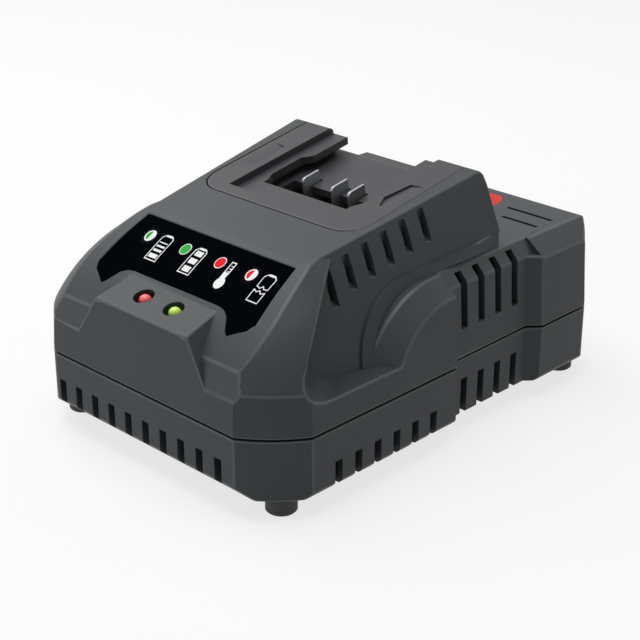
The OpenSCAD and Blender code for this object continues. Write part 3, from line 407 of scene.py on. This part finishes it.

# ---- Lamps ----
# Two lamps cast in tinted epoxy on the lamp board, each drawn out into a narrower round tip
# that stands in its window. The lens is smooth as cast, with a faint cloud in it. Its colour is
# painted paler at the tip, a painted highlight of light coming through the epoxy, and it carries
# a faint painted glow.


def lens(node, x, side, tip):
    """One lamp at that place across: its epoxy, painted from the side's colour to a paler tip as a
    painted highlight, and its tip.

    The tip is a ball whose lower half is drawn down into the lamp by the stem's length.
    """
    tip_y, tip_z, tip_radius, stem = -69.49, 50.07, 2.05, 1.5
    tilt = math.radians(16.3)
    material, tree, shader, place = start(node.replace("_", " ") + " epoxy")
    centred = add(tree, "Mapping", Vector=place, Location=[-x * MM, -tip_y * MM, -tip_z * MM])
    height = add(tree, "SeparateXYZ", Vector=centred.outputs[0])
    share = add(tree, "MapRange", Value=height.outputs[2], From_Min=0.2 * MM, From_Max=2.0 * MM)
    # The tip's colour is paler than the side's: a painted highlight
    tint = add(tree, "Mix", {"data_type": "RGBA"}, i6=linear(side), i7=linear(tip),
               Factor=share.outputs[0])
    tree.links.new(tint.outputs[2], shader.inputs["Base Color"])
    # A faint painted glow in the epoxy's own colours
    tree.links.new(tint.outputs[2], shader.inputs["Emission Color"])
    shader.inputs["Emission Strength"].default_value = 0.3
    shader.inputs["Roughness"].default_value = 0.1
    shader.inputs["IOR"].default_value = 1.54
    cloud = add(tree, "TexNoise", Vector=place, Scale=1 / (1.2 * MM), Detail=1.0)
    swell = add(tree, "Bump", Height=cloud.outputs["Fac"], Strength=0.3, Distance=0.05 * MM)
    tree.links.new(swell.outputs["Normal"], shader.inputs["Normal"])
    dress(node, material)
    bm = bmesh.new()
    bmesh.ops.create_uvsphere(bm, u_segments=48, v_segments=24, radius=tip_radius * MM)
    lower = [vert for vert in bm.verts if vert.co.z < -1e-6]
    bmesh.ops.translate(bm, verts=lower, vec=(0, 0, -stem * MM))
    for face in bm.faces:
        face.smooth = True
    stand = Matrix.Translation((x * MM, tip_y * MM, tip_z * MM)) @ Matrix.Rotation(tilt, 4, "X")
    bmesh.ops.transform(bm, matrix=stand, verts=bm.verts)
    settle(as_piece(node + "_tip", bm), [material], node)


lens("lamp_red", -6.6, "#9a1014", "#e8605c")
lens("lamp_green", 6.6, "#5f8c10", "#bfe05c")

# ---- Charge marker ----
# A plain arrowhead moulded in red ABS and let into the rear platform.
# Its satin face keeps the red full and free of highlights.
red_abs = moulded("satin red ABS", "#c8201c", "#d02a24", roughness=0.4,
                  grain=0.3, depth=0.01, specular=0.1)
dress("charge_marker", red_abs)

# ---- Feet and cord bush ----
# Four feet moulded in black rubber, each pressed into the tray by its stem, and the bush low in the
# rear wall, where the cord would pass. The rubber shows as a flat, even black without highlights.
rubber = moulded("black rubber", "#18191a", "#1e1f20", roughness=0.65, grain=0.5, depth=0.03)
for name in ("foot_front_left", "foot_front_right", "foot_rear_left", "foot_rear_right", "cord_gland"):
    dress(name, rubber)

# ---- Fasteners ----
# Pan head screws of zinc plated steel, which hold the tray, the cradle, the boards, the block
# and the clamp. The plating is a bright grey that dulls in patches about a millimetre wide.


def bare_metal(name, code, low, high):
    """A plain metal whose gloss drifts between two roughnesses."""
    patch = 0.8 * MM
    metal, tree, shader, place = start(name)
    shader.inputs["Base Color"].default_value = linear(code)
    shader.inputs["Metallic"].default_value = 1.0
    mottle = add(tree, "TexNoise", Vector=place, Scale=1 / patch, Detail=2.0)
    drift = add(tree, "MapRange", Value=mottle.outputs["Fac"], To_Min=low, To_Max=high)
    tree.links.new(drift.outputs[0], shader.inputs["Roughness"])
    return metal


zinc = bare_metal("zinc plated steel", "#a8abad", 0.25, 0.5)
for name in ("terminal_screws", "lamp_board_screws", "board_screws", "clamp_screws", "cover_screws",
             "cradle_screws"):
    dress(name, zinc)

# ---- Electronics ----
# The boards and what is soldered to them, shut in the housing and seen only through its slots.
# Each part has its trade's usual colour: green solder mask, blue sleeves, yellow film cases,
# black epoxy, brown enamelled copper, and bare metal for the heatsink and the fuse clips.
for parts, name, dark, light, roughness in (
        (("lamp_board", "main_board"), "green solder mask", "#235535", "#2a5f3c", 0.35),
        (("transformer_core",), "lacquered core steel", "#2a2b2d", "#323335", 0.6),
        (("transformer_winding",), "yellow winding tape", "#bd9433", "#cda544", 0.35),
        (("bulk_capacitor", "output_capacitors"), "blue capacitor sleeve", "#26304e", "#2c3758", 0.3),
        (("line_capacitor",), "yellow film case", "#c2a634", "#ccb23e", 0.35),
        (("mains_choke",), "enamelled copper winding", "#80421f", "#93502b", 0.3),
        (("fuse",), "fuse glass", "#c4ccd0", "#d0d6d8", 0.1),
        (("rectifier", "switching_transistor", "output_diode", "controller_chip"),
         "black package epoxy", "#1a1b1c", "#202122", 0.5),
        (("board_connector",), "natural nylon", "#dedbd2", "#e6e4dc", 0.4)):
    finish = moulded(name, dark, light, roughness, grain=0.4, depth=0.01)
    for part in parts:
        dress(part, finish)
dress("heatsink", bare_metal("extruded aluminium", "#b4b7ba", 0.3, 0.45))
dress("fuse_clips", bare_metal("tinned brass", "#ad9150", 0.25, 0.4))

# ---- Stage ----
# A plain white floor that keeps the charger's shadow, and soft light: a large source straight
# overhead, another at the left shoulder, and weak ones around.
bm = bmesh.new()
bmesh.ops.create_grid(bm, x_segments=1, y_segments=1, size=4)
floor = as_piece("floor", bm)


def background_rays(tree):
    """One for a ray that shows the background: from the camera, off a gloss, or through glass."""
    seen = add(tree, "LightPath")
    direct = add(tree, "Math", {"operation": "MAXIMUM"},
                 i0=seen.outputs["Is Camera Ray"], i1=seen.outputs["Is Glossy Ray"])
    return add(tree, "Math", {"operation": "MAXIMUM"},
               i0=direct.outputs[0], i1=seen.outputs["Is Transmission Ray"]).outputs[0]


white, tree, shader, place = start("white sweep")
shader.inputs["Base Color"].default_value = linear("#f2f2f2")
shader.inputs["Roughness"].default_value = 0.9
lit_share = add(tree, "Math", {"operation": "MULTIPLY"}, i0=background_rays(tree), i1=0.75)
paper = add(tree, "Emission", Color=(1, 1, 1, 1), Strength=1.0)
both = add(tree, "MixShader", i0=lit_share.outputs[0], i1=shader.outputs[0], i2=paper.outputs[0])
tree.links.new(both.outputs[0], tree.nodes["Material Output"].inputs["Surface"])
floor.data.materials.append(white)

world = bpy.data.worlds.new("studio")
bpy.context.scene.world = world
world.use_nodes = True
tree = world.node_tree
level = add(tree, "MapRange", Value=background_rays(tree), To_Min=0.1, To_Max=1.0)
tree.links.new(level.outputs[0], tree.nodes["Background"].inputs["Strength"])
tree.nodes["Background"].inputs["Color"].default_value = (1, 1, 1, 1)


def softbox(name, place, power):
    """A square soft light, turned towards the middle of the charger."""
    middle = Vector((0, 0, 0.04))
    light = bpy.data.lights.new(name, "AREA")
    light.shape = "SQUARE"
    light.size = 0.7
    light.energy = power
    lamp = bpy.data.objects.new(name, light)
    bpy.context.scene.collection.objects.link(lamp)
    lamp.location = place
    lamp.rotation_euler = (middle - Vector(place)).to_track_quat("-Z", "Y").to_euler()


softbox("overhead", (0, -0.1, 1.0), 5.2)
softbox("left shoulder", (-0.62, 0.02, 0.8), 4.4)
softbox("front", (0.15, -1.1, 0.45), 1.3)
softbox("front left", (-0.65, -0.75, 0.25), 1.8)
softbox("behind", (0, 0.8, 0.8), 0.8)
softbox("behind right", (0.55, 0.7, 0.6), 0.8)

bpy.context.scene.view_settings.view_transform = "Standard"
